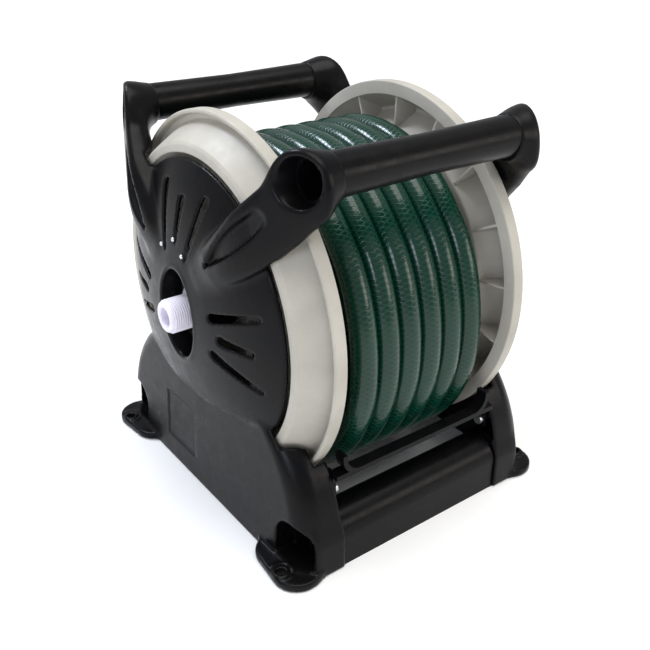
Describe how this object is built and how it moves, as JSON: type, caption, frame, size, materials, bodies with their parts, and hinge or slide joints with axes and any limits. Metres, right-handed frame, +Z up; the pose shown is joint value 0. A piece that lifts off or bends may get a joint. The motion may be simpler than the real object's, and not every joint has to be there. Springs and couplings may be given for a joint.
{
  "type": "garden hose reel",
  "caption": "Free-standing garden hose reel: moulded side frames, tube handles, bottom rails, a cranked drum with grey flanges, a threaded inlet and a wound hose.",
  "frame": {"origin": "on the ground, in the middle of the four foot screw holes", "axes": "+X along the drum axis towards the crank, -X towards the water inlet, -Y towards the front, +Z up"},
  "size_m": [0.332, 0.299, 0.314],
  "materials": {
    "black_polypropylene": "moulded, fine satin texture",
    "grey_polypropylene": "moulded, satin",
    "white_acetal": "moulded, slightly translucent",
    "connector_plastic": "moulded, ribbed",
    "zinc_steel": "zinc plated",
    "rubber_black": "moulded",
    "hose_pvc": "glossy, braid-reinforced PVC hose"
  },
  "bodies": {
    "frame": {"left_side_frame": "black_polypropylene", "right_side_frame": "black_polypropylene", "front_handle_left": "black_polypropylene", "front_handle_right": "black_polypropylene", "rear_handle_left": "black_polypropylene", "rear_handle_right": "black_polypropylene", "front_rail_left": "black_polypropylene", "front_rail_right": "black_polypropylene", "rear_rail_left": "black_polypropylene", "rear_rail_right": "black_polypropylene", "joining_screws": "zinc_steel", "hose_guard": "black_polypropylene", "guard_screws": "zinc_steel", "inlet_spindle": "white_acetal", "spindle_clip": "zinc_steel", "spindle_o_rings": "rubber_black", "left_drum_bush": "white_acetal", "right_drum_bush": "white_acetal"},
    "drum": {"left_flange": "grey_polypropylene", "right_flange": "grey_polypropylene", "left_barrel_half": "grey_polypropylene", "right_barrel_half": "grey_polypropylene", "flange_screws": "zinc_steel", "swivel_elbow": "white_acetal", "tail_connector": "connector_plastic", "tail_nut": "connector_plastic", "hose_winding": "hose_pvc", "hose_end_connector": "connector_plastic", "crank_shaft": "grey_polypropylene", "shaft_clip": "zinc_steel", "crank_arm": "black_polypropylene", "crank_screw": "zinc_steel", "knob_pin": "zinc_steel"},
    "knob": {"crank_knob": "black_polypropylene", "knob_cap": "black_polypropylene"}
  },
  "joints": [
    {"name": "drum_spin", "type": "hinge", "parent": "frame", "child": "drum", "pos_m": [0, 0, 0.168], "axis": [1, 0, 0], "continuous": true},
    {"name": "knob_spin", "type": "hinge", "parent": "drum", "child": "knob", "pos_m": [0.16, 0, 0.073], "axis": [1, 0, 0], "continuous": true}
  ]
}
